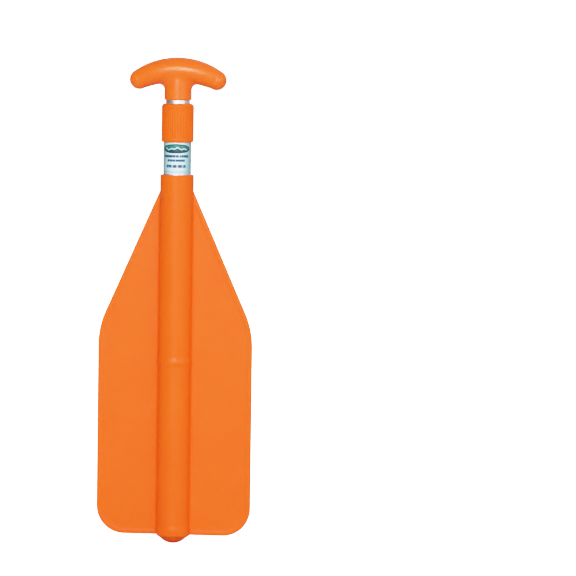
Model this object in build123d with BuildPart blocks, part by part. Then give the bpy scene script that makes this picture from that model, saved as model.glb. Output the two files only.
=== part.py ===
from build123d import *

import math
import os

# Telescoping T-handle boat paddle, standing upright and pushed fully together.
# Millimetres. +Z runs up the shaft axis, the blade's web lies in the XZ plane, the front faces -Y,
# and the origin is the tip of the nose cap on the shaft axis.

# ---------------------------------------------------------------- driving dimensions
closed_length = 559.0  # 22 in, pushed together

# Blade: a full-length tubular spine with a flat web on both sides
spine_radius = 19.2
spine_top = 424.9
spine_bottom = 9.4
spine_rim_round = 1.2
spine_foot_chamfer = 0.5
main_tube_clearance = 0.3
stop_shoulder_z = 206.3  # where the narrow upper bore opens into the wide lower one
lower_bore_radius = 16.9
bead_center_z = 210.0
bead_height = 11.0
bead_rise = 0.8
foot_swell_low = 10.5
foot_swell_high = 21.5
foot_swell_rise = 0.5

web_half_width = 89.2
web_thickness = 3.0
web_bottom = 9.6
web_shoulder_z = 248.0  # where the slanted and the straight side would meet
web_neck_z = 406.3  # where the slanted side leaves the spine
web_shoulder_round = 98.0
web_corner_round = 32.0
web_border_width = 3.2
web_border_rise = 0.3

# Nose cap: a shallow dome, then a cone up to the spine, and a spigot inside the bore
cap_crease_radius = 14.6  # where the dome and the cone meet
cap_crease_z = 6.2
cap_lip_radius = 18.7
cap_lip_z = 9.0
cap_wall = 2.0
cap_spigot_top = 19.5
cap_floor = 7.5
cap_floor_chamfer = 2.0
cap_boss_radius = 5.0
cap_boss_top = 16.0  # the lower lock's end stops here when the paddle is closed

# Tubes
main_tube_radius = 15.75
handle_tube_radius = 13.75
tube_wall = 1.2
main_tube_bottom = 60.0
main_tube_top = 502.0
handle_tube_bottom = 124.0
handle_tube_top = 535.0

# Ribbed grip sleeve, its guide bush and the label under it
sleeve_radius = 18.4
sleeve_bottom = 462.2
sleeve_top = 506.4
sleeve_round = 2.0
sleeve_rib_low = 467.5
sleeve_rib_high = 501.5
sleeve_rib_count = 40
sleeve_groove_radius = 0.95
sleeve_groove_depth = 0.5
lip_clearance = 0.3
bush_length = 15.7
label_bottom = 425.7
label_top = 461.9
label_thickness = 0.12

# T-handle: an oval bar bent along an arc, round at its ends, blended into a round stem
stem_radius = 15.6
stem_bottom = 510.4
stem_edge_round = 1.0
blend_round = 9.0
blend_start = 520.3  # height where the stem starts to flare
blend_sections = 6
blend_sweep = 70  # degrees of the flare's round that are used
crown_sections = 4
crown_top = 544.0
crown_depth = 17.0  # half the stem's front-to-back size where it runs into the bar
grip_bar_sag = 11.2
grip_bar_reach = 44.5  # from the axis to the centre of each rounded end
grip_bar_mid_radius = 14.3  # half its height at the middle
grip_bar_mid_depth = 17.5  # half its front-to-back size at the middle
grip_bar_end_radius = 11.3
grip_bar_sections = 7

# Twist locks: plug, cross pin, screw, expander, cone nut, retainer
screw_radius = 4.0
screw_chamfer = 0.6
pin_radius = 1.5
pin_recess = 0.15
plug_length = 20.0
plug_flange = 4.0
plug_clearance = 0.3
plug_chamfer = 1.0
screw_seat = 6.0  # how far the screw reaches past the tube's end into the plug
expander_gap = 4.0  # between the plug's flange and the expander
expander_length = 30.0
expander_clearance = 0.2
expander_chamfer = 0.8
expander_collar = 6.0  # the unslit top of the expander
expander_slit = 2.5
expander_slits = 4
slit_overrun = 0.5  # how far the slits' cutter passes the expander's surface
lock_reach = 43.7  # from the tube's end to the end of the screw
retainer_height = 4.0
retainer_radius = 7.0
cone_height = 17.0
cone_taper = 4.0  # how much the radius shrinks over the cone's height
cone_inset = 4.0  # the expander's wall at the cone's wide end
cone_gap = 0.35
cone_headroom = 2.0
key_recess = 1.5
running_gap = 0.1
rest_gap = 0.3

# Rivet through the back of the T-handle's stem
rivet_z = 517.0
rivet_radius = 2.0
rivet_head_radius = 3.5
rivet_head_height = 0.9
rivet_seat_depth = 14.9  # distance of the spot face from the axis
rivet_tail_radius = 2.8
rivet_tail_inner = 11.0
rivet_tail_outer = 12.2

# ---------------------------------------------------------------- derived dimensions
upper_bore_radius = main_tube_radius + main_tube_clearance
main_tube_bore = main_tube_radius - tube_wall
handle_tube_bore = handle_tube_radius - tube_wall
bush_bore = handle_tube_radius + running_gap
cap_inner_radius = lower_bore_radius - cap_wall
grip_arc_radius = (grip_bar_reach**2 + grip_bar_sag**2) / (2 * grip_bar_sag)
grip_bar_center_z = closed_length - grip_bar_mid_radius
grip_arc_center_z = grip_bar_center_z - grip_arc_radius
grip_end_z = grip_bar_center_z - grip_bar_sag
cap_dome_radius = (cap_crease_radius**2 + cap_crease_z**2) / (2 * cap_crease_z)

os.makedirs("parts", exist_ok=True)


def save(piece, name):
    """Labels a finished piece and writes it to its own STEP file."""
    piece.part.label = name
    export_step(piece.part, f"parts/{name}.step")


# ---------------------------------------------------------------- blade
# the web's outline: a straight foot, two straight sides and two slanted ones up to the spine
with BuildSketch(Plane.XZ) as web_outline:
    with BuildLine():
        Polyline(
            (-web_half_width, web_bottom),
            (web_half_width, web_bottom),
            (web_half_width, web_shoulder_z),
            (spine_radius, web_neck_z),
            (-spine_radius, web_neck_z),
            (-web_half_width, web_shoulder_z),
            close=True,
        )
    make_face()
    fillet(web_outline.vertices().group_by(Axis.Y)[0], web_corner_round)
    fillet(web_outline.vertices().group_by(Axis.Y)[-2], web_shoulder_round)

with BuildSketch(Plane.XZ) as web_border:
    add(web_outline.sketch_local)
    offset(amount=-web_border_width, mode=Mode.SUBTRACT)

with BuildPart() as blade:
    extrude(web_outline.sketch, amount=web_thickness / 2, both=True)
    extrude(web_border.sketch, amount=web_thickness / 2 + web_border_rise, both=True)
    # the spine, with its bead ring and the swelling at its foot
    with BuildSketch(Plane.XZ):
        with BuildLine():
            Polyline(
                (0, spine_bottom),
                (spine_radius - spine_foot_chamfer, spine_bottom),
                (spine_radius, spine_bottom + spine_foot_chamfer),
                (spine_radius, spine_top - spine_rim_round),
            )
            RadiusArc(
                (spine_radius, spine_top - spine_rim_round),
                (spine_radius - spine_rim_round, spine_top),
                -spine_rim_round,
            )
            Polyline(
                (spine_radius - spine_rim_round, spine_top),
                (0, spine_top),
                (0, spine_bottom),
            )
        make_face()
        with BuildLine():
            low = (spine_radius, bead_center_z - bead_height / 2)
            high = (spine_radius, bead_center_z + bead_height / 2)
            ThreePointArc(low, (spine_radius + bead_rise, bead_center_z), high)
            Line(high, low)
        make_face()
        with BuildLine():
            low = (spine_radius, foot_swell_low)
            high = (spine_radius, foot_swell_high)
            ThreePointArc(
                low,
                (spine_radius + foot_swell_rise, (foot_swell_low + foot_swell_high) / 2),
                high,
            )
            Line(high, low)
        make_face()
    revolve(axis=Axis.Z)
    # stepped bore: the shoulder between its two widths stops the main tube's plug
    with BuildSketch(Plane.XY.offset(spine_bottom)):
        Circle(lower_bore_radius)
    extrude(amount=stop_shoulder_z - spine_bottom, mode=Mode.SUBTRACT)
    with BuildSketch(Plane.XY.offset(stop_shoulder_z)):
        Circle(upper_bore_radius)
    extrude(amount=spine_top - stop_shoulder_z, mode=Mode.SUBTRACT)
save(blade, "blade")

# ---------------------------------------------------------------- nose cap
with BuildPart() as nose_cap:
    with BuildSketch(Plane.XZ):
        with BuildLine():
            RadiusArc((0, 0), (cap_crease_radius, cap_crease_z), -cap_dome_radius)
            Polyline(
                (cap_crease_radius, cap_crease_z),
                (cap_lip_radius, cap_lip_z),
                (cap_lip_radius, spine_bottom),
                (lower_bore_radius, spine_bottom),
                (lower_bore_radius, cap_spigot_top),
                (cap_inner_radius, cap_spigot_top),
                (cap_inner_radius, cap_floor + cap_floor_chamfer),
                (cap_inner_radius - cap_floor_chamfer, cap_floor),
                (cap_boss_radius, cap_floor),
                (cap_boss_radius, cap_boss_top),
                (0, cap_boss_top),
                (0, 0),
            )
        make_face()
    revolve(axis=Axis.Z)
save(nose_cap, "nose_cap")


# ---------------------------------------------------------------- tubes
with BuildPart() as main_tube:
    with BuildSketch(Plane.XY.offset(main_tube_bottom)):
        Circle(main_tube_radius)
        Circle(main_tube_bore, mode=Mode.SUBTRACT)
    extrude(amount=main_tube_top - main_tube_bottom)
    with BuildSketch(Plane.YZ):
        with Locations((0, main_tube_bottom + plug_length / 2)):
            Circle(pin_radius)
    extrude(amount=main_tube_radius, both=True, mode=Mode.SUBTRACT)
save(main_tube, "main_tube")

with BuildPart() as handle_tube:
    with BuildSketch(Plane.XY.offset(handle_tube_bottom)):
        Circle(handle_tube_radius)
        Circle(handle_tube_bore, mode=Mode.SUBTRACT)
    extrude(amount=handle_tube_top - handle_tube_bottom)
    with BuildSketch(Plane.YZ):
        with Locations((0, handle_tube_bottom + plug_length / 2)):
            Circle(pin_radius)
    extrude(amount=handle_tube_radius, both=True, mode=Mode.SUBTRACT)
    # the rivet's hole, through the back wall only
    with BuildSketch(Plane.XZ):
        with Locations((0, rivet_z)):
            Circle(rivet_radius)
    extrude(amount=-handle_tube_radius, mode=Mode.SUBTRACT)
save(handle_tube, "handle_tube")

# ---------------------------------------------------------------- grip sleeve, bush, label
with BuildPart() as grip_sleeve:
    with BuildSketch(Plane.XY.offset(sleeve_bottom)):
        Circle(sleeve_radius)
    extrude(amount=sleeve_top - sleeve_bottom)
    fillet(grip_sleeve.edges().filter_by(GeomType.CIRCLE), sleeve_round)
    with BuildSketch(Plane.XY.offset(sleeve_rib_low)):
        with PolarLocations(sleeve_radius + sleeve_groove_radius - sleeve_groove_depth, sleeve_rib_count):
            Circle(sleeve_groove_radius)
    extrude(amount=sleeve_rib_high - sleeve_rib_low, mode=Mode.SUBTRACT)
    with BuildSketch(Plane.XY.offset(sleeve_bottom)):
        Circle(main_tube_radius)
    extrude(amount=main_tube_top - sleeve_bottom, mode=Mode.SUBTRACT)
    with BuildSketch(Plane.XY.offset(main_tube_top)):
        Circle(handle_tube_radius + lip_clearance)
    extrude(amount=sleeve_top - main_tube_top, mode=Mode.SUBTRACT)
save(grip_sleeve, "grip_sleeve")

with BuildPart() as guide_bush:
    with BuildSketch(Plane.XY.offset(main_tube_top - bush_length)):
        Circle(main_tube_bore)
        Circle(bush_bore, mode=Mode.SUBTRACT)
    extrude(amount=bush_length)
save(guide_bush, "guide_bush")

with BuildPart() as label:
    with BuildSketch(Plane.XY.offset(label_bottom)):
        Circle(main_tube_radius + label_thickness)
        Circle(main_tube_radius, mode=Mode.SUBTRACT)
    extrude(amount=label_top - label_bottom)
save(label, "label")

# ---------------------------------------------------------------- T-handle
with BuildPart() as t_handle:
    # the bar: oval sections along an arc, round and smaller at the ends
    end_angle = math.asin(grip_bar_reach / grip_arc_radius)
    for index in range(grip_bar_sections):
        share = 2 * index / (grip_bar_sections - 1) - 1  # -1 at the left end, +1 at the right
        angle = share * end_angle
        section_x = grip_arc_radius * math.sin(angle)
        section_z = grip_arc_center_z + grip_arc_radius * math.cos(angle)
        along = (math.cos(angle), 0, -math.sin(angle))
        half_height = grip_bar_mid_radius - (grip_bar_mid_radius - grip_bar_end_radius) * share**2
        half_depth = grip_bar_mid_depth - (grip_bar_mid_depth - grip_bar_end_radius) * share**2
        with BuildSketch(Plane(origin=(section_x, 0, section_z), x_dir=(0, 1, 0), z_dir=along)):
            if abs(share) < 1:
                Ellipse(half_depth, half_height)
            else:
                Circle(grip_bar_end_radius)
    loft()
    with Locations((-grip_bar_reach, 0, grip_end_z), (grip_bar_reach, 0, grip_end_z)):
        Sphere(grip_bar_end_radius)
    # the flare from the stem into the bar: its sides follow a round
    for index in range(blend_sections):
        angle = math.radians(blend_sweep * index / (blend_sections - 1))
        half_width = stem_radius + blend_round * (1 - math.cos(angle))
        with BuildSketch(Plane.XY.offset(blend_start + blend_round * math.sin(angle))):
            Ellipse(half_width, stem_radius)
    # higher up its front and back swell until they run into the bar
    crown_start = blend_start + blend_round
    for index in range(1, crown_sections + 1):
        share = index / crown_sections
        half_depth = stem_radius + (crown_depth - stem_radius) * share**2
        with BuildSketch(Plane.XY.offset(crown_start + (crown_top - crown_start) * share)):
            Ellipse(stem_radius + blend_round, half_depth)
    loft()
    # the stem, its socket for the tube and the spot face under the rivet's head
    with BuildSketch(Plane.XY.offset(stem_bottom)):
        Circle(stem_radius)
    extrude(amount=blend_start - stem_bottom)
    fillet(t_handle.edges().group_by(Axis.Z)[0], stem_edge_round)
    with BuildSketch(Plane.XY.offset(stem_bottom)):
        Circle(handle_tube_radius)
    extrude(amount=handle_tube_top - stem_bottom, mode=Mode.SUBTRACT)
    with BuildSketch(Plane.XZ):
        with Locations((0, rivet_z)):
            Circle(rivet_radius)
    extrude(amount=-stem_radius, mode=Mode.SUBTRACT)
    with BuildSketch(Plane.XZ.offset(-rivet_seat_depth)):
        with Locations((0, rivet_z)):
            Circle(rivet_head_radius)
    extrude(amount=-stem_radius, mode=Mode.SUBTRACT)
save(t_handle, "t_handle")

with BuildPart() as handle_rivet:
    with BuildSketch(Plane.XZ.offset(-rivet_tail_inner)):
        with Locations((0, rivet_z)):
            Circle(rivet_tail_radius)
    extrude(amount=-(rivet_tail_outer - rivet_tail_inner))
    with BuildSketch(Plane.XZ.offset(-rivet_tail_inner)):
        with Locations((0, rivet_z)):
            Circle(rivet_radius)
    extrude(amount=-(rivet_seat_depth - rivet_tail_inner))
    with BuildSketch(Plane.XZ.offset(-rivet_seat_depth)):
        with Locations((0, rivet_z)):
            Circle(rivet_head_radius)
    extrude(amount=-rivet_head_height)
    fillet(handle_rivet.edges().group_by(Axis.Y)[-1], rivet_head_height / 2)
save(handle_rivet, "handle_rivet")


# ---------------------------------------------------------------- twist locks
def twist_lock(name, tube_end, tube_radius, tube_bore, outer_bore):
    """The six pieces of the expanding lock at the foot of a tube. It grips the bore around it."""
    pin_z = tube_end + plug_length / 2
    screw_end = tube_end - lock_reach
    expander_top = tube_end - plug_flange - expander_gap
    expander_bottom = expander_top - expander_length
    expander_radius = outer_bore - expander_clearance
    cone_bottom = screw_end + retainer_height + rest_gap
    cone_top = cone_bottom + cone_height
    cone_wide = expander_radius - cone_inset
    cone_narrow = cone_wide - cone_taper
    key_radius = expander_radius - key_recess

    with BuildPart() as plug:
        with BuildSketch(Plane.XY.offset(tube_end - plug_flange)):
            Circle(outer_bore - plug_clearance)
        extrude(amount=plug_flange)
        with BuildSketch(Plane.XY.offset(tube_end)):
            Circle(tube_bore)
        extrude(amount=plug_length)
        chamfer(plug.edges().group_by(Axis.Z)[-1], plug_chamfer)
        with BuildSketch(Plane.XY.offset(tube_end - plug_flange)):
            Circle(screw_radius)
        extrude(amount=plug_flange + screw_seat, mode=Mode.SUBTRACT)
        with BuildSketch(Plane.YZ):
            with Locations((0, pin_z)):
                Circle(pin_radius)
        extrude(amount=tube_radius, both=True, mode=Mode.SUBTRACT)
    save(plug, f"{name}_lock_plug")

    with BuildPart() as plug_pin:
        with BuildSketch(Plane.YZ):
            with Locations((0, pin_z)):
                Circle(pin_radius)
        extrude(amount=tube_radius - pin_recess, both=True)
    save(plug_pin, f"{name}_plug_pin")

    with BuildPart() as screw:
        with BuildSketch(Plane.XY.offset(screw_end)):
            Circle(screw_radius)
        extrude(amount=lock_reach + screw_seat)
        chamfer(screw.edges().filter_by(GeomType.CIRCLE), screw_chamfer)
    save(screw, f"{name}_lock_screw")

    with BuildPart() as retainer:
        with BuildSketch(Plane.XY.offset(screw_end)):
            RegularPolygon(retainer_radius, 6)
            Circle(screw_radius, mode=Mode.SUBTRACT)
        extrude(amount=retainer_height)
    save(retainer, f"{name}_retainer")

    # a cone round the screw, with keys that run in the expander's slits so that it can't turn
    with BuildPart() as cone_nut:
        with BuildSketch(Plane.XY.offset(cone_bottom)):
            with PolarLocations(key_radius / 2, expander_slits):
                Rectangle(key_radius, expander_slit - 2 * rest_gap)
        extrude(amount=cone_height)
        with BuildSketch(Plane.XY.offset(cone_bottom)):
            Circle(cone_wide)
        with BuildSketch(Plane.XY.offset(cone_top)):
            Circle(cone_narrow)
        loft()
        with BuildSketch(Plane.XY.offset(cone_bottom)):
            Circle(screw_radius + running_gap)
        extrude(amount=cone_height, mode=Mode.SUBTRACT)
    save(cone_nut, f"{name}_cone_nut")

    # a sleeve slit into fingers below its collar, with the cone's seat inside
    with BuildPart() as expander:
        with BuildSketch(Plane.XY.offset(expander_bottom)):
            Circle(expander_radius)
        extrude(amount=expander_length)
        chamfer(expander.edges().filter_by(GeomType.CIRCLE), expander_chamfer)
        with BuildSketch(Plane.XY.offset(cone_bottom)):
            Circle(cone_wide + cone_gap)
        with BuildSketch(Plane.XY.offset(cone_top)):
            Circle(cone_narrow + cone_gap)
        loft(mode=Mode.SUBTRACT)
        with BuildSketch(Plane.XY.offset(cone_top)):
            Circle(cone_narrow + cone_gap)
        extrude(amount=cone_headroom, mode=Mode.SUBTRACT)
        with BuildSketch(Plane.XY.offset(expander_bottom)):
            Circle(screw_radius + rest_gap)
        extrude(amount=expander_length, mode=Mode.SUBTRACT)
        with BuildSketch(Plane.XY.offset(expander_bottom)):
            with PolarLocations(expander_radius / 2, expander_slits):
                Rectangle(expander_radius + 2 * slit_overrun, expander_slit)
        extrude(amount=expander_length - expander_collar, mode=Mode.SUBTRACT)
    save(expander, f"{name}_expander")


twist_lock("lower", main_tube_bottom, main_tube_radius, main_tube_bore, lower_bore_radius)
twist_lock("upper", handle_tube_bottom, handle_tube_radius, handle_tube_bore, main_tube_bore)
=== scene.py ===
import math

import bmesh
import bpy
import numpy as np
from mathutils import Matrix, Vector


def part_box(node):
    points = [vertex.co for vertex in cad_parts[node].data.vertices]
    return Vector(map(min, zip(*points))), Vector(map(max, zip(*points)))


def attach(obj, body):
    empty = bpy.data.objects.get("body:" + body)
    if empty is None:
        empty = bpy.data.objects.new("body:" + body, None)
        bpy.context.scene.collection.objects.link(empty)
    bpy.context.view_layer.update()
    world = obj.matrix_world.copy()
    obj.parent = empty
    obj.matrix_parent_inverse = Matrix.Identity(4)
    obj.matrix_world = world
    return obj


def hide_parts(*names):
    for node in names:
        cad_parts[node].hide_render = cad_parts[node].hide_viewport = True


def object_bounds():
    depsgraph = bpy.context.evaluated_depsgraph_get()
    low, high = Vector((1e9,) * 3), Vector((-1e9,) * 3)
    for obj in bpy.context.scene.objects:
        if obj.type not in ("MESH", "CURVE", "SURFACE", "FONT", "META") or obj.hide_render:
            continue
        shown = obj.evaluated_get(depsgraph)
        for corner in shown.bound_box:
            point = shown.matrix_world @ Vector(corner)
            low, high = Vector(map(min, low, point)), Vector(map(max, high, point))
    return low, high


# Looks of a telescoping boat paddle: moulded safety-orange blade, grip and T-handle, drawn
# aluminium tubes and a printed film label. Shapes are worked out in millimetres, in the frame of the
# CAD model (+Z up the shaft, the front faces -Y), and turned into metres when a mesh is made.
MM = 0.001

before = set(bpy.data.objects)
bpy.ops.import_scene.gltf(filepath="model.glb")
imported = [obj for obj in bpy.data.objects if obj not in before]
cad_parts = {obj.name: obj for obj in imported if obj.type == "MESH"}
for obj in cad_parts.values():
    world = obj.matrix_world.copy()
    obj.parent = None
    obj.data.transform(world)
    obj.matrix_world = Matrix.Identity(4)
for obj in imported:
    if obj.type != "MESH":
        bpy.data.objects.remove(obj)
cad_low, cad_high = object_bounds()


def span(node):
    """A CAD node's lowest and highest corners, in millimetres."""
    low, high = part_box(node)
    return np.array(low) / MM, np.array(high) / MM


# ---------------------------------------------------------------- sizes, in millimetres
blade_low, blade_high = span("blade")
web_half_width = blade_high[0]
spine_bottom, spine_top = blade_low[2], blade_high[2]
spine_radius = 19.2
spine_rim_round = 1.2
spine_foot_round = 0.8
lower_bore_radius = 16.9
upper_bore_radius = 16.05
bore_step_z = 207.2  # a little above the CAD's shoulder, as the mesh rounds the step off
bore_edge_round = 0.35
bead_z, bead_half_height, bead_rise = 210.0, 5.5, 0.8
foot_z, foot_half_height, foot_rise = 16.0, 5.5, 0.5

web_bottom = 9.6
web_half_thickness = 1.5
web_shoulder_z = 248.0
web_neck_z = 406.3
web_corner_round = 32.0
web_shoulder_round = 98.0
web_edge_round = 1.5
border_width, border_slope, border_rise = 3.2, 4.0, 0.3
spine_fillet, spine_fillet_end = 2.4, 0.3
# the fillet grows to its full size over these heights, up from the web's foot and down from its neck
fillet_foot_run, fillet_neck_run = 8, 20

handle_low, handle_high = span("t_handle")
stem_radius = 15.6
stem_bottom = handle_low[2]
stem_round = 1.4
bar_reach, bar_sag = 44.5, 11.2
bar_mid_height, bar_mid_depth, bar_end_radius = 14.3, 17.5, 11.3
bar_z = handle_high[2] - bar_mid_height
bar_side_fillet, bar_front_fillet = 7.5, 2.5
socket_top = span("handle_tube")[1][2]
socket_edge_round = 0.3

main_tube_radius, handle_tube_radius, tube_wall = 15.75, 13.75, 1.2
main_tube_top = span("main_tube")[1][2]
tube_edge_round = 0.3


# ---------------------------------------------------------------- mesh making
def new_object(name, points, faces, normals=None):
    """A smooth-shaded mesh object from millimetre points. Normals, where given, are one per point."""
    mesh = bpy.data.meshes.new(name)
    mesh.from_pydata((np.asarray(points) * MM).tolist(), [], np.asarray(faces).tolist())
    mesh.polygons.foreach_set("use_smooth", [True] * len(mesh.polygons))
    mesh.update()
    if normals is not None:
        mesh.normals_split_custom_set_from_vertices(np.asarray(normals).tolist())
    made = bpy.data.objects.new(name, mesh)
    bpy.context.scene.collection.objects.link(made)
    return made


def slope(field, points, step=0.02):
    """The gradient of a field at some points, by central differences."""
    result = np.empty_like(points)
    for axis in range(3):
        shift = np.zeros(3)
        shift[axis] = step
        ahead = field(*(points + shift).T)
        behind = field(*(points - shift).T)
        result[:, axis] = (ahead - behind) / (2 * step)
    return result


def onto_surface(field, points, steps=3, least_slope=0.05, longest_move=1.0):
    """Moves points along the gradient until the field is zero there. The least squared slope and the
    longest move keep a point beside a crease of the field from flying off."""
    for _ in range(steps):
        gradient = slope(field, points)
        size = np.maximum((gradient**2).sum(1), least_slope)
        move = gradient * (field(*points.T) / size)[:, None]
        points = points - np.clip(move, -longest_move, longest_move)
    return points


def relaxed(points, quads, share=0.5):
    """Each point moved part of the way to the mean of its neighbours."""
    total = np.zeros_like(points)
    count = np.zeros(len(points))
    for corner in range(4):
        here, there = quads[:, corner], quads[:, (corner + 1) % 4]
        for a, b in ((here, there), (there, here)):
            for axis in range(3):
                total[:, axis] += np.bincount(a, points[b, axis], len(points))
            count += np.bincount(a, minlength=len(points))
    return points + share * (total / count[:, None] - points)


def cell_points(value, inside, axes):
    """For each grid cell that the surface crosses, the mean of the places where it crosses the
    cell's edges; and the index of each cell's point, or -1."""
    cell_shape = tuple(n - 1 for n in value.shape)
    total = np.zeros(cell_shape + (3,))
    count = np.zeros(cell_shape)
    grid = np.meshgrid(*axes, indexing="ij")
    for axis in range(3):
        near = [slice(None)] * 3
        far = [slice(None)] * 3
        near[axis], far[axis] = slice(None, -1), slice(1, None)
        near, far = tuple(near), tuple(far)
        crossed = inside[near] != inside[far]
        difference = np.where(crossed, value[near] - value[far], 1.0)
        share = np.where(crossed, value[near] / difference, 0.0)
        place = [grid[k][near] + (grid[k][far] - grid[k][near]) * share for k in range(3)]
        side = [k for k in range(3) if k != axis]
        for first in (slice(None, -1), slice(1, None)):
            for second in (slice(None, -1), slice(1, None)):
                part = [slice(None)] * 3
                part[side[0]], part[side[1]] = first, second
                part = tuple(part)
                count += crossed[part]
                for k in range(3):
                    total[..., k] += np.where(crossed[part], place[k][part], 0.0)
    used = count > 0
    index = np.full(cell_shape, -1)
    index[used] = np.arange(used.sum())
    return total[used] / count[used][:, None], index


def surface_net(field, *axes, rounds=3):
    """Points, quads and normals of the surface round the space where field(x, y, z) is negative.
    Each round evens out the points and puts them back on the surface."""
    value = field(*np.meshgrid(*axes, indexing="ij"))
    inside = value < 0
    points, index = cell_points(value, inside, axes)
    # each crossed grid edge gives one quad through the four cells round it
    quads = []
    for axis in range(3):
        side = [(axis + 1) % 3, (axis + 2) % 3]
        near = [slice(1, -1)] * 3
        far = [slice(1, -1)] * 3
        near[axis], far[axis] = slice(None, -1), slice(1, None)
        near, far = inside[tuple(near)], inside[tuple(far)]
        for crossed, order in ((near & ~far, (0, 1, 2, 3)), (far & ~near, (3, 2, 1, 0))):
            at = np.array(np.nonzero(crossed)).T
            at[:, side] += 1
            ring = []
            for first, second in ((-1, -1), (0, -1), (0, 0), (-1, 0)):
                cell = at.copy()
                cell[:, side[0]] += first
                cell[:, side[1]] += second
                ring.append(index[tuple(cell.T)])
            quads.append(np.array(ring)[list(order)].T)
    quads = np.concatenate(quads)
    for _ in range(rounds):
        points = onto_surface(field, relaxed(points, quads))
    normals = slope(field, points)
    normals /= np.linalg.norm(normals, axis=1)[:, None]
    return points, quads, normals


def steps_between(*stops):
    """Grid positions from (position, spacing after it) stops; the last stop is a bare position."""
    positions = []
    for (start, spacing), following in zip(stops, stops[1:]):
        end = following[0] if isinstance(following, tuple) else following
        count = max(1, round((end - start) / spacing))
        positions.extend(start + (end - start) * np.arange(count) / count)
    positions.append(stops[-1])
    return np.array(positions)


def rounded_loop(*corners, steps=5):
    """A closed loop of (radius, height) points from (radius, height, rounding) corners."""
    loop = []
    for i, (x, z, rounding) in enumerate(corners):
        corner = np.array((x, z), float)
        if rounding == 0:
            loop.append(corner)
            continue
        before = np.array(corners[i - 1][:2], float) - corner
        after = np.array(corners[(i + 1) % len(corners)][:2], float) - corner
        before /= np.linalg.norm(before)
        after /= np.linalg.norm(after)
        half = math.acos(float(np.clip(before @ after, -1, 1))) / 2
        middle = (before + after) / np.linalg.norm(before + after)
        center = corner + middle * rounding / math.sin(half)
        start = corner + before * rounding / math.tan(half) - center
        end = corner + after * rounding / math.tan(half) - center
        turn = math.atan2(start[0] * end[1] - start[1] * end[0], float(start @ end))
        for step in range(steps + 1):
            cos, sin = math.cos(turn * step / steps), math.sin(turn * step / steps)
            spoke = (start[0] * cos - start[1] * sin, start[0] * sin + start[1] * cos)
            loop.append(center + spoke)
    return np.array(loop)


def lathe(name, loop, segments=96, inset=None, sharp=40):
    """A loop of (radius, height) points, solid on its left, turned round the Z axis. What
    inset(angle, radius, height) gives is taken off the radius. Edges over sharp degrees stay sharp."""
    turns = np.arange(segments) * 2 * math.pi / segments
    radius, angle = np.meshgrid(loop[:, 0], turns, indexing="ij")
    height = np.broadcast_to(loop[:, 1][:, None], radius.shape)
    if inset is not None:
        radius = radius - inset(angle, radius, height)
    points = np.stack([radius * np.sin(angle), -radius * np.cos(angle), height], -1)
    row, column = np.meshgrid(np.arange(len(loop)), np.arange(segments), indexing="ij")
    next_row, next_column = (row + 1) % len(loop), (column + 1) % segments
    corners = (row, column), (row, next_column), (next_row, next_column), (next_row, column)
    quads = np.stack([r * segments + c for r, c in corners], -1).reshape(-1, 4)
    made = new_object(name, points.reshape(-1, 3), quads)
    touches_axis = loop[:, 0].min() < 1e-6
    if touches_axis:
        merge_points(made.data)
    made.data.set_sharp_from_angle(angle=math.radians(sharp))
    even_normals(made)
    return made


def merge_points(mesh):
    """Joins the points that lie on one another, as at a pole."""
    work = bmesh.new()
    work.from_mesh(mesh)
    bmesh.ops.remove_doubles(work, verts=work.verts, dist=0.0001 * MM)
    work.to_mesh(mesh)
    work.free()


def even_normals(made):
    """Keeps flat faces flat beside rounded edges."""
    modifier = made.modifiers.new("even_normals", "WEIGHTED_NORMAL")
    modifier.keep_sharp = True


# ---------------------------------------------------------------- fields: negative inside
def rounded_max(a, b, radius):
    """What two solids share, with a rounded edge."""
    outside = np.hypot(np.maximum(a + radius, 0), np.maximum(b + radius, 0))
    return np.minimum(np.maximum(a, b), -radius) + outside


def rounded_min(a, b, radius):
    """Two solids joined with a fillet."""
    inside = np.hypot(np.maximum(radius - a, 0), np.maximum(radius - b, 0))
    return np.maximum(np.minimum(a, b), radius) - inside


def smooth_step(value):
    """0 below 0, 1 above 1, smooth between."""
    t = np.clip(value, 0, 1)
    return t * t * (3 - 2 * t)


def swelling(z, center, half_height, rise):
    """How far a ring stands out of a tube at height z."""
    share = np.clip((z - center) / half_height, -1, 1)
    return rise * (1 - share**2) ** 1.5


def web_distance(x, z):
    """Distance to the web's outline in its plane, negative inside. Its corners are true arcs."""
    x = np.abs(x)
    side = x - web_half_width
    foot = web_bottom - z
    run, climb = web_half_width - spine_radius, web_neck_z - web_shoulder_z
    length = math.hypot(run, climb)
    out_x, out_z = climb / length, run / length
    slant = (x - web_half_width) * out_x + (z - web_shoulder_z) * out_z
    lower = rounded_max(side, foot, web_corner_round)
    # the arc between the straight and the slanted side, as seen from its centre
    radius = web_shoulder_round
    center_x = web_half_width - radius
    center_z = web_shoulder_z - (radius - radius * out_x) / out_z
    dx, dz = x - center_x, z - center_z
    facing_arc = (dz > 0) & (dx * out_z - dz * out_x > 0)
    upper = np.where(facing_arc, np.hypot(dx, dz) - radius, np.maximum(side, slant))
    return np.maximum(lower, upper)


def spine_field(x, y, z):
    """The blade's tube from outside, with its bead ring and the swelling at its foot."""
    grown = swelling(z, bead_z, bead_half_height, bead_rise)
    grown = grown + swelling(z, foot_z, foot_half_height, foot_rise)
    wall = np.hypot(x, y) - spine_radius - grown
    topped = rounded_max(wall, z - spine_top, spine_rim_round)
    return rounded_max(topped, spine_bottom - z, spine_foot_round)


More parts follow.
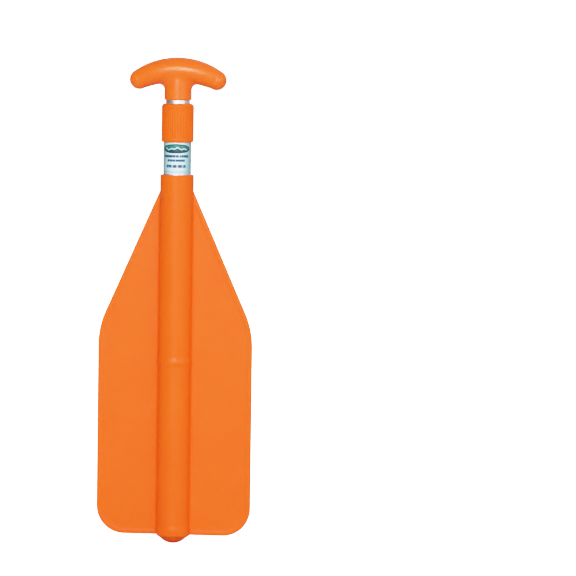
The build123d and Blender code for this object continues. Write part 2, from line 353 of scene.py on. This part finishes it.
def blade_field(x, y, z):
    """The whole blade: web, spine and the stepped bore through the spine."""
    outline = web_distance(x, z)
    border = smooth_step((outline + border_width + border_slope) / border_slope)
    web = rounded_max(outline, np.abs(y) - web_half_thickness - border_rise * border, web_edge_round)
    above_foot = smooth_step((z - web_bottom) / fillet_foot_run)
    below_neck = smooth_step((web_neck_z - z) / fillet_neck_run)
    fillet = spine_fillet_end + (spine_fillet - spine_fillet_end) * above_foot * below_neck
    solid = rounded_min(web, spine_field(x, y, z), fillet)
    reach = np.hypot(x, y)
    wide_bore = np.maximum(reach - lower_bore_radius, z - bore_step_z)
    bore = np.minimum(reach - upper_bore_radius, wide_bore)
    return rounded_max(solid, -bore, bore_edge_round)


def handle_field(x, y, z):
    """The T-handle: an oval bar bent along an arc, joined to a round stem with a socket."""
    tiny = 1e-9
    arc_radius = (bar_reach**2 + bar_sag**2) / (2 * bar_sag)
    end_angle = math.asin(bar_reach / arc_radius)
    up = z - (bar_z - arc_radius)
    angle = np.clip(np.arctan2(np.abs(x), up), 0, end_angle)
    share = (angle / end_angle) ** 2
    # distances along the bar, across its height and across its depth from the arc's nearest point
    past = np.abs(x) * np.cos(angle) - up * np.sin(angle)
    across = np.abs(x) * np.sin(angle) + up * np.cos(angle) - arc_radius
    half_height = bar_mid_height - (bar_mid_height - bar_end_radius) * share
    half_depth = bar_mid_depth - (bar_mid_depth - bar_end_radius) * share
    # the oval's size at the point as a share of its size at the surface, and how fast that grows
    parts = ((across, half_height), (y, half_depth), (past, bar_end_radius))
    share_out = np.sqrt(sum((place / half) ** 2 for place, half in parts)) + tiny
    growth = np.sqrt(sum((place / half**2) ** 2 for place, half in parts)) + tiny
    bar = share_out * (share_out - 1) / growth
    reach = np.hypot(x, y)
    stem = rounded_max(reach - stem_radius, stem_bottom - z, stem_round)
    stem = np.maximum(stem, z - bar_z)
    sideways = x**2 / (x**2 + y**2 + tiny)
    fillet = bar_front_fillet + (bar_side_fillet - bar_front_fillet) * sideways
    solid = rounded_min(bar, stem, fillet)
    socket = np.maximum(reach - handle_tube_radius, z - socket_top)
    return rounded_max(solid, -socket, socket_edge_round)


# ---------------------------------------------------------------- materials
class Look:
    """One procedural material, with short ways to add nodes. Places are object coordinates in metres."""

    def __init__(self, name, **settings):
        self.made = bpy.data.materials.new(name)
        self.made.use_nodes = True
        self.tree = self.made.node_tree
        self.shader = self.tree.nodes["Principled BSDF"]
        self.place = self.node("ShaderNodeTexCoord").outputs["Object"]
        self.set(**settings)

    def set(self, **settings):
        """Puts values or sockets on the shader, by the socket's name with _ for a space."""
        for name, value in settings.items():
            self.put(self.shader.inputs[name.replace("_", " ")], value)

    def put(self, socket, value):
        """Links a socket, or sets a plain value."""
        if isinstance(value, bpy.types.NodeSocket):
            self.tree.links.new(value, socket)
        else:
            socket.default_value = value

    def node(self, kind, inputs=None, **settings):
        """A new node, with its inputs by name or index and its settings by name."""
        made = self.tree.nodes.new(kind)
        for name, value in settings.items():
            setattr(made, name, value)
        for key, value in (inputs or {}).items():
            self.put(made.inputs[key], value)
        return made

    def math(self, operation, *values, clamp=False):
        inputs = dict(enumerate(values))
        return self.node("ShaderNodeMath", inputs, operation=operation, use_clamp=clamp).outputs[0]

    def stretched(self, x, y, z):
        """The place with its axes scaled, which draws a noise out along the axis scaled least."""
        inputs = {0: self.place, 1: (x, y, z)}
        return self.node("ShaderNodeVectorMath", inputs, operation="MULTIPLY").outputs[0]

    def noise(self, scale, detail=2.0, place=None, roughness=0.5):
        inputs = {"Vector": place or self.place, "Scale": scale, "Detail": detail, "Roughness": roughness}
        return self.node("ShaderNodeTexNoise", inputs).outputs["Fac"]

    def remap(self, value, low, high, to_low, to_high):
        inputs = {0: value, 1: low, 2: high, 3: to_low, 4: to_high}
        return self.node("ShaderNodeMapRange", inputs, clamp=True).outputs[0]

    def mix(self, share, first, second):
        """Two colours mixed; each is an (r, g, b) or a socket."""
        made = self.node("ShaderNodeMix", data_type="RGBA")
        for key, value in ((0, share), (6, first), (7, second)):
            self.put(made.inputs[key], value if key == 0 or not isinstance(value, tuple) else (*value, 1))
        return made.outputs[2]

    def bump(self, height, painted_shade_openness, strength=1.0):
        """Tilts the shader's normal by a height from 0 to 1, which stands for depth metres."""
        inputs = {"Height": height, "Distance": painted_shade_openness, "Strength": strength}
        if self.shader.inputs["Normal"].is_linked:
            inputs["Normal"] = self.shader.inputs["Normal"].links[0].from_socket
        self.put(self.shader.inputs["Normal"], self.node("ShaderNodeBump", inputs).outputs[0])


def moulded_plastic(name, color, pale, roughness, grain, specular):
    """Opaque moulded plastic: a spark-eroded grain, faint clouds of a pale colour, painted shade in its
    creases, uneven gloss.
    """
    look = Look(name, IOR=1.49, Specular_IOR_Level=specular)
    cloud = look.noise(14.0, 3.0)
    speck = look.noise(900.0, 2.0)
    share = look.math("MULTIPLY_ADD", speck, 0.25, look.remap(cloud, 0.35, 0.65, 0.0, 0.6))
    # painted shade: the colour turns a deeper red where two surfaces meet, in the creases where shade
    # falls
    open_sky = look.node("ShaderNodeAmbientOcclusion", {"Distance": 0.006}, samples=8).outputs["AO"]
    painted_shade_openness = look.remap(open_sky, 0.5, 0.85, 0.0, 1.0)
    painted_crease_shade = (0.98 * color[0], 0.52 * color[1], 0.9 * color[2])
    look.set(Base_Color=look.mix(painted_shade_openness, painted_crease_shade, look.mix(share, color, pale)))
    gloss = look.noise(70.0, 4.0)
    look.set(Roughness=look.remap(gloss, 0.1, 0.9, roughness - 0.085, roughness + 0.095))
    look.set(Subsurface_Weight=0.2, Subsurface_Radius=(1.0, 0.22, 0.08), Subsurface_Scale=0.003)
    look.bump(look.noise(grain, 3.0, roughness=0.6), 0.00003, 0.5)
    return look


def drawn_aluminium():
    """Clear-anodised drawn tube: fine lines along its length and a soft gloss."""
    look = Look("drawn_aluminium", Metallic=1.0, Anisotropic=0.3)
    lines = look.noise(1.0, 4.0, look.stretched(2600.0, 2600.0, 18.0), 0.6)
    brightness = look.remap(lines, 0.3, 0.7, 0.0, 1.0)
    look.set(Base_Color=look.mix(brightness, (0.87, 0.87, 0.88), (0.94, 0.94, 0.94)))
    cloud = look.noise(25.0, 2.0)
    line_gloss = look.remap(lines, 0.3, 0.7, 0.28, 0.36)
    look.set(Roughness=look.math("MULTIPLY_ADD", cloud, 0.10, line_gloss))
    look.bump(lines, 0.000006, 0.6)
    return look


def turned_metal(name, color, roughness, metallic=1.0):
    """Small machined or plated metal part with turning marks round the shaft's axis."""
    look = Look(name, Metallic=metallic)
    rings = look.noise(1.0, 3.0, look.stretched(60.0, 60.0, 4200.0), 0.5)
    cloud = look.noise(300.0, 3.0)
    darker = tuple(0.82 * part for part in color)
    look.set(Base_Color=look.mix(look.remap(cloud, 0.35, 0.7, 0.0, 1.0), color, darker))
    look.set(Roughness=look.remap(rings, 0.3, 0.7, roughness - 0.05, roughness + 0.06))
    look.bump(rings, 0.00001, 0.5)
    return look


def natural_nylon():
    """Uncoloured nylon or acetal: milky, slightly translucent."""
    look = Look("natural_nylon", IOR=1.53, Subsurface_Weight=0.3)
    look.set(Subsurface_Radius=(1.0, 0.9, 0.8), Subsurface_Scale=0.002)
    cloud = look.noise(120.0, 3.0)
    look.set(Base_Color=look.mix(cloud, (0.78, 0.76, 0.70), (0.70, 0.68, 0.61)))
    look.set(Roughness=look.remap(look.noise(500.0, 3.0), 0.3, 0.7, 0.36, 0.48))
    look.bump(look.noise(2500.0, 2.0), 0.00002, 0.4)
    return look


def printed_film():
    """The label: pale blue film with a generic graphic, drawn from the angle round the tube and the
    height: a teal oval with a wave, and broken bars of ink where a label has its lines of print."""
    look = Look("printed_film", IOR=1.5, Coat_Weight=0.6, Coat_Roughness=0.12, Coat_IOR=1.5)
    split = look.node("ShaderNodeSeparateXYZ", {0: look.place}).outputs
    front = look.math("MULTIPLY", split["Y"], -1.0)
    turn = look.math("ARCTAN2", split["X"], front)
    # u and v are millimetres: round the tube from the graphic's middle, and up from the label's foot
    u = look.math("MULTIPLY_ADD", turn, main_tube_radius, -0.6)
    oval_v = 29.4
    v = look.math("MULTIPLY_ADD", split["Z"], 1 / MM, -span("label")[0][2])

    def band(value, center, half, soft=0.25):
        """1 where value lies within half of center, and 0 beyond, with a soft edge."""
        away = look.math("ABSOLUTE", look.math("SUBTRACT", value, center))
        return look.remap(away, half - soft, half + soft, 1.0, 0.0)

    def oval(half_width, half_height):
        """1 inside the oval round (0, oval_v), and 0 outside, with a soft edge."""
        across = look.math("POWER", look.math("DIVIDE", u, half_width), 2.0)
        rise = look.math("SUBTRACT", v, oval_v)
        up = look.math("POWER", look.math("DIVIDE", rise, half_height), 2.0)
        return look.remap(look.math("ADD", across, up), 0.93, 1.05, 1.0, 0.0)

    wash = look.remap(v, 0.0, 37.0, 0.0, 1.0)
    # painted shade: the film turns darker and greyer towards the tube's sides, round from the front, as
    # where they turn away from the light
    painted_side_shade = look.remap(look.math("ABSOLUTE", u), 5.0, 16.0, 0.0, 1.0)
    middle_blue = look.mix(wash, (0.56, 0.76, 0.93), (0.60, 0.82, 0.88))
    paper = look.mix(painted_side_shade, middle_blue, (0.30, 0.50, 0.56))
    # three rows of broken bars: height up the label, half thickness, half length, pieces per metre
    rows = ((20.8, 1.35, 15.5, 420.0), (16.0, 1.3, 10.5, 560.0), (9.4, 1.6, 12.0, 380.0))
    ink_color = (0.02, 0.09, 0.17)
    for center, half, half_length, pieces in rows:
        stroke = look.math("MULTIPLY", band(v, center, half), band(u, 0.0, half_length))
        gaps = look.noise(1.0, 1.0, look.stretched(pieces, pieces, 40.0))
        broken = look.remap(gaps, 0.36, 0.46, 0.45, 1.0)
        stroke = look.math("MULTIPLY", stroke, broken)
        paper = look.mix(stroke, paper, ink_color)
    foot_band = look.math("MULTIPLY", band(v, 3.0, 1.2), 0.45)
    paper = look.mix(foot_band, paper, (0.20, 0.38, 0.55))
    # the oval has a dark rim and lightens upwards inside it
    shade = look.remap(v, 25.5, 33.0, 0.0, 1.0)
    teal = look.mix(shade, (0.002, 0.035, 0.06), (0.02, 0.25, 0.23))
    paper = look.mix(oval(18.0, 5.3), paper, (0.004, 0.045, 0.07))
    paper = look.mix(oval(16.6, 4.1), paper, teal)
    # a pale wave across it, of a short ripple on a longer one
    crest = look.math("SINE", look.math("MULTIPLY", u, 0.85))
    swell = look.math("SINE", look.math("MULTIPLY_ADD", u, 0.37, 1.2))
    wave = look.math("MULTIPLY_ADD", look.math("ADD", crest, swell), 0.7, oval_v)
    lift = look.math("SUBTRACT", v, wave)
    stroke = look.math("MULTIPLY", band(lift, 0.0, 0.75), band(u, 0.0, 13.0, 1.5))
    paper = look.mix(look.math("MULTIPLY", stroke, 0.8), paper, (0.62, 0.86, 0.90))
    look.set(Base_Color=paper)
    look.set(Roughness=look.remap(look.noise(400.0, 2.0), 0.3, 0.7, 0.26, 0.34))
    look.bump(look.noise(60.0, 2.0), 0.00008, 0.15)
    return look


blade_orange = moulded_plastic(
    "blade_orange",
    color=(0.91, 0.134, 0.006),
    pale=(0.91, 0.145, 0.008),
    roughness=0.34,
    grain=1800.0,
    specular=0.18,
)
handle_orange = moulded_plastic(
    "handle_orange",
    color=(0.93, 0.153, 0.008),
    pale=(0.93, 0.163, 0.010),
    roughness=0.30,
    grain=2600.0,
    specular=0.42,
)
grip_orange = moulded_plastic(
    "grip_orange",
    color=(0.90, 0.139, 0.005),
    pale=(0.90, 0.149, 0.007),
    roughness=0.40,
    grain=2200.0,
    specular=0.16,
)
aluminium = drawn_aluminium()
rivet_metal = turned_metal("rivet_metal", (0.80, 0.80, 0.80), 0.32)
plated_steel = turned_metal("plated_steel", (0.62, 0.63, 0.64), 0.30)
nylon = natural_nylon()
label_print = printed_film()


def finished(piece, body, slot, look, *nodes):
    """Gives a piece its material and its body, and hides the CAD nodes it stands for. The slot argument
    is not used.
    """
    piece.data.materials.append(look.made)
    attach(piece, body)
    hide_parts(*nodes)


# ---------------------------------------------------------------- blade and nose cap
# the grid is fine at edges, rings and fillets, and coarse where the blade runs straight
web_side = web_half_width + 1.5
spine_side = spine_radius + 1.3
blade_x = steps_between(
    (-web_side, 0.75), (-84, 1.6), (-spine_side, 1.0), (spine_side, 1.6), (84, 0.75), web_side
)
blade_y = steps_between((-spine_side, 1.0), (-2.5, 0.55), (2.5, 1.0), spine_side)
blade_z = steps_between(
    (spine_bottom - 1.2, 0.45),
    (12, 0.9),
    (foot_z + 7, 1.4),
    (44, 4.5),
    (bead_z - 8, 0.8),
    (bead_z + 9, 3.5),
    (232, 1.9),
    (420, 0.5),
    spine_top + 0.4,
)
blade = new_object("paddle_blade", *surface_net(blade_field, blade_x, blade_y, blade_z))
finished(blade, "blade", "blade_plastic", blade_orange, "blade")

cap_top = span("nose_cap")[1][2]
cap_crease_radius, cap_crease_z = 14.6, 6.2
cap_lip_radius, cap_lip_z = 18.7, 9.0
cap_wall, cap_floor_z = 2, 7.5
cap_hub_radius, cap_hub_top = 5, 16
dome_steps = 12
dome_radius = (cap_crease_radius**2 + cap_crease_z**2) / (2 * cap_crease_z)
dome_angle = math.asin(cap_crease_radius / dome_radius)
dome = [
    (dome_radius * math.sin(a), dome_radius * (1 - math.cos(a)), 0)
    for a in np.linspace(0, dome_angle, dome_steps)[:-1]
]
# a fine step parts the dome from the cone, and a hub stands on the floor inside the spigot
cap_loop = rounded_loop(
    *dome,
    (cap_crease_radius - 0.25, cap_crease_z - 0.2, 0.1),
    (cap_crease_radius - 0.1, cap_crease_z + 0.35, 0.15),
    (cap_crease_radius + 0.55, cap_crease_z + 0.35, 0.25),
    (cap_lip_radius, cap_lip_z, 0.3),
    (cap_lip_radius, spine_bottom, 0),
    (lower_bore_radius, spine_bottom, 0),
    (lower_bore_radius, cap_top, 0.4),
    (lower_bore_radius - cap_wall, cap_top, 0.4),
    (lower_bore_radius - cap_wall, cap_floor_z, 2),
    (cap_hub_radius, cap_floor_z, 0.6),
    (cap_hub_radius, cap_hub_top, 0.5),
    (0, cap_hub_top, 0),
)
nose = lathe("nose_plug", cap_loop)
finished(nose, "blade", "blade_plastic", blade_orange, "nose_cap")


# ---------------------------------------------------------------- tubes, bush, label, grip
def tube(name, node, radius):
    """A drawn tube with its edges broken, as long as its CAD node."""
    low, high = span(node)
    inner = radius - tube_wall
    ends = [(inner, low[2]), (radius, low[2]), (radius, high[2]), (inner, high[2])]
    loop = rounded_loop(*[(r, z, tube_edge_round) for r, z in ends], steps=3)
    return lathe(name, loop, segments=128)


main_tube = tube("shaft_tube", "main_tube", main_tube_radius)
finished(main_tube, "shaft", "tube_aluminium", aluminium, "main_tube")
handle_tube = tube("inner_shaft_tube", "handle_tube", handle_tube_radius)
finished(handle_tube, "handle", "tube_aluminium", aluminium, "handle_tube")

label_low, label_high = span("label")
film_radius, film_edge_round = label_high[0], 0.05
seam_height = 0.09
# angles past the back, in radians: the step up, the flat overlap and the run-out after it
seam_step, seam_width, seam_fade = 0.03, 0.2, 0.25


def overlap(angle, radius, height):
    """The film's end lies over its start at the back: a step there, and nothing elsewhere."""
    past_back = angle - math.pi
    raised = smooth_step(past_back / seam_step) * (1 - smooth_step((past_back - seam_width) / seam_fade))
    return -seam_height * raised * (radius > film_radius - film_edge_round)


label_loop = rounded_loop(
    (main_tube_radius, label_low[2], 0),
    (film_radius, label_low[2], film_edge_round),
    (film_radius, label_high[2], film_edge_round),
    (main_tube_radius, label_high[2], 0),
    steps=2,
)
label = lathe("shaft_label", label_loop, segments=240, inset=overlap)
finished(label, "shaft", "label_film", label_print, "label")

sleeve_low, sleeve_high = span("grip_sleeve")
sleeve_radius = sleeve_high[0]
sleeve_foot_round, sleeve_top_round, sleeve_inner_round = 2.2, 3.9, 0.3
sleeve_top_taper = 0.15
running_gap = 0.3  # between the handle tube and the lip of the grip
rib_low, rib_high, rib_fade = 467.5, 501.5, 1.6
rib_count, rib_depth, rib_share = 40, 0.34, 0.62
segments_per_rib = 12


def ribs(angle, radius, height):
    """Grooves down the outside of the grip that run out before its plain ends."""
    along = smooth_step((height - rib_low + rib_fade) / rib_fade)
    along = along * smooth_step((rib_high + rib_fade - height) / rib_fade)
    phase = (angle * rib_count / (2 * math.pi)) % 1.0
    groove = np.sqrt(np.clip(1 - ((phase - 0.5) / (rib_share / 2)) ** 2, 0, 1))
    return rib_depth * along * groove * (radius > sleeve_radius - 1.0)


rib_rows = steps_between((rib_low - rib_fade, 0.4), (rib_low, 4.0), (rib_high, 0.4), rib_high + rib_fade)
sleeve_loop = rounded_loop(
    (main_tube_radius, sleeve_low[2], 0.4),
    (sleeve_radius, sleeve_low[2], sleeve_foot_round),
    *[(sleeve_radius, z, 0) for z in rib_rows],
    (sleeve_radius - sleeve_top_taper, sleeve_high[2], sleeve_top_round),
    (handle_tube_radius + running_gap, sleeve_high[2], sleeve_inner_round),
    (handle_tube_radius + running_gap, main_tube_top, 0),
    (main_tube_radius, main_tube_top, 0),
)
sleeve = lathe("grip_ring", sleeve_loop, rib_count * segments_per_rib, inset=ribs, sharp=60)
finished(sleeve, "shaft", "grip_plastic", grip_orange, "grip_sleeve")

# ---------------------------------------------------------------- T-handle
margin, spacing = 1.2, 0.8
handle_x = steps_between((handle_low[0] - margin, spacing), handle_high[0] + margin)
handle_y = steps_between((handle_low[1] - margin, spacing), handle_high[1] + margin)
handle_z = steps_between((stem_bottom - 0.8, 0.45), (512, spacing), handle_high[2] + margin)
t_handle = new_object("handle_grip", *surface_net(handle_field, handle_x, handle_y, handle_z, rounds=8))
finished(t_handle, "handle", "handle_plastic", handle_orange, "t_handle")

# ---------------------------------------------------------------- CAD pieces that keep their shape
kept_looks = {"guide_bush": nylon, "handle_rivet": rivet_metal}
for lock in ("lower", "upper"):
    for part in ("lock_plug", "expander", "cone_nut"):
        kept_looks[f"{lock}_{part}"] = nylon
    for part in ("plug_pin", "lock_screw", "retainer"):
        kept_looks[f"{lock}_{part}"] = plated_steel
for node, look in kept_looks.items():
    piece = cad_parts[node]
    piece.data.materials.clear()
    piece.data.materials.append(look.made)

# ---------------------------------------------------------------- floor, light and camera
middle = (Vector(cad_low) + Vector(cad_high)) / 2


def floor_look():
    """Pale floor: near white to the camera, dimmer as a source of bounced light."""
    look = Look("pale_floor")
    nodes, links = look.tree.nodes, look.tree.links
    seen = look.node("ShaderNodeLightPath").outputs["Is Camera Ray"]
    paper = look.node("ShaderNodeBsdfDiffuse", {"Color": (0.85, 0.85, 0.85, 1)})
    wash = look.node("ShaderNodeEmission", {"Color": (1, 1, 1, 1), "Strength": 2.6})
    bright = look.node("ShaderNodeAddShader", {0: paper.outputs[0], 1: wash.outputs[0]})
    dim = look.node("ShaderNodeBsdfDiffuse", {"Color": (0.50, 0.45, 0.40, 1)})
    both = look.node("ShaderNodeMixShader", {0: seen, 1: dim.outputs[0], 2: bright.outputs[0]})
    nodes.remove(look.shader)
    links.new(both.outputs[0], nodes["Material Output"].inputs["Surface"])
    return look


floor_half_width = 40.0
floor_gap = 0.0005
floor_mesh = bpy.data.meshes.new("floor")
corners = [(x, y, 0) for x, y in ((-1, -1), (1, -1), (1, 1), (-1, 1))]
floor_mesh.from_pydata([Vector(corner) * floor_half_width for corner in corners], [], [(0, 1, 2, 3)])
floor = bpy.data.objects.new("floor", floor_mesh)
floor.location.z = -floor_gap
floor_mesh.materials.append(floor_look().made)
bpy.context.scene.collection.objects.link(floor)


def soft_light(name, azimuth, elevation, distance, size, level, mirrored=True):
    """A square soft box round the object. level is what a white surface facing it would show.
    One that isn't mirrored lights the surfaces but leaves no glint along their edges."""
    a, e = math.radians(azimuth), math.radians(elevation)
    away = Vector((math.sin(a) * math.cos(e), -math.cos(a) * math.cos(e), math.sin(e)))
    light = bpy.data.lights.new(name, "AREA")
    light.size = size
    light.energy = level * math.pi**2 * distance**2
    made = bpy.data.objects.new(name, light)
    made.location = middle + away * distance
    made.rotation_mode = "QUATERNION"
    made.rotation_quaternion = away.to_track_quat("Z", "Y")
    made.visible_camera = False
    made.visible_glossy = mirrored
    bpy.context.scene.collection.objects.link(made)


soft_light("key", azimuth=-1, elevation=21, distance=4.5, size=2.5, level=1.08)
soft_light("fill", azimuth=50, elevation=15, distance=4.5, size=2.5, level=0.20)
soft_light("back", azimuth=186, elevation=30, distance=4.5, size=3.0, level=0.75, mirrored=False)


def studio_world():
    """White to the camera, and to everything else a soft grey room that is much darker on the left
    and a little darker in front."""
    world = bpy.data.worlds.new("studio")
    world.use_nodes = True
    nodes, links = world.node_tree.nodes, world.node_tree.links
    shown = nodes["Background"]
    shown.inputs["Color"].default_value = (1, 1, 1, 1)
    shown.inputs["Strength"].default_value = 4.0
    room = nodes.new("ShaderNodeBackground")
    where = nodes.new("ShaderNodeTexCoord")
    split = nodes.new("ShaderNodeSeparateXYZ")
    links.new(where.outputs["Generated"], split.inputs[0])
    strength = nodes.new("ShaderNodeMath")
    strength.operation = "MULTIPLY"
    for axis, socket, ends in (("X", 0, (0.35, 1.25)), ("Y", 1, (0.44, 0.55))):
        along = nodes.new("ShaderNodeMapRange")
        for inlet, value in zip(along.inputs, (0, -0.6, 0.6, *ends)):
            inlet.default_value = value
        links.new(split.outputs[axis], along.inputs[0])
        links.new(along.outputs[0], strength.inputs[socket])
    links.new(strength.outputs[0], room.inputs["Strength"])
    path = nodes.new("ShaderNodeLightPath")
    both = nodes.new("ShaderNodeMixShader")
    links.new(path.outputs["Is Camera Ray"], both.inputs[0])
    links.new(room.outputs[0], both.inputs[1])
    links.new(shown.outputs[0], both.inputs[2])
    links.new(both.outputs[0], nodes["World Output"].inputs["Surface"])
    bpy.context.scene.world = world


studio_world()


def camera_response():
    """A plain display transform with a soft shoulder, so that bright orange doesn't clip."""
    settings = bpy.context.scene.view_settings
    settings.view_transform = "Standard"
    settings.use_curve_mapping = True
    mapping = settings.curve_mapping
    brightest = 3.0
    mapping.white_level = [brightest] * 3
    curve = mapping.curves[3]
    # straight up to 0.7, then bending over towards white
    for light, shown in ((0.35, 0.35), (0.7, 0.7), (0.966, 0.823), (1.38, 0.905), (2.0, 0.96)):
        curve.points.new(light / brightest, shown)
    mapping.update()


camera_response()

# The camera stands in front and a little to the right, and looks slightly down. The paddle lies left
# of the middle of its frame.
camera_aside, camera_distance, camera_height = 0.1288, 4.5, 0.638
look_down, roll, around = (math.radians(angle) for angle in (4.340, 0.797, 6.0))
camera_data = bpy.data.cameras.new("camera")
camera_data.lens = 245.7
camera_data.sensor_width = 36.0
camera_data.clip_end = 100.0
camera = bpy.data.objects.new("camera", camera_data)
tilted = Matrix.Rotation(math.pi / 2 - look_down, 4, "X") @ Matrix.Rotation(roll, 4, "Z")
placed = Matrix.Translation((camera_aside, -camera_distance, camera_height))
camera.matrix_world = Matrix.Rotation(around, 4, "Z") @ placed @ tilted
bpy.context.scene.collection.objects.link(camera)
bpy.context.scene.camera = camera
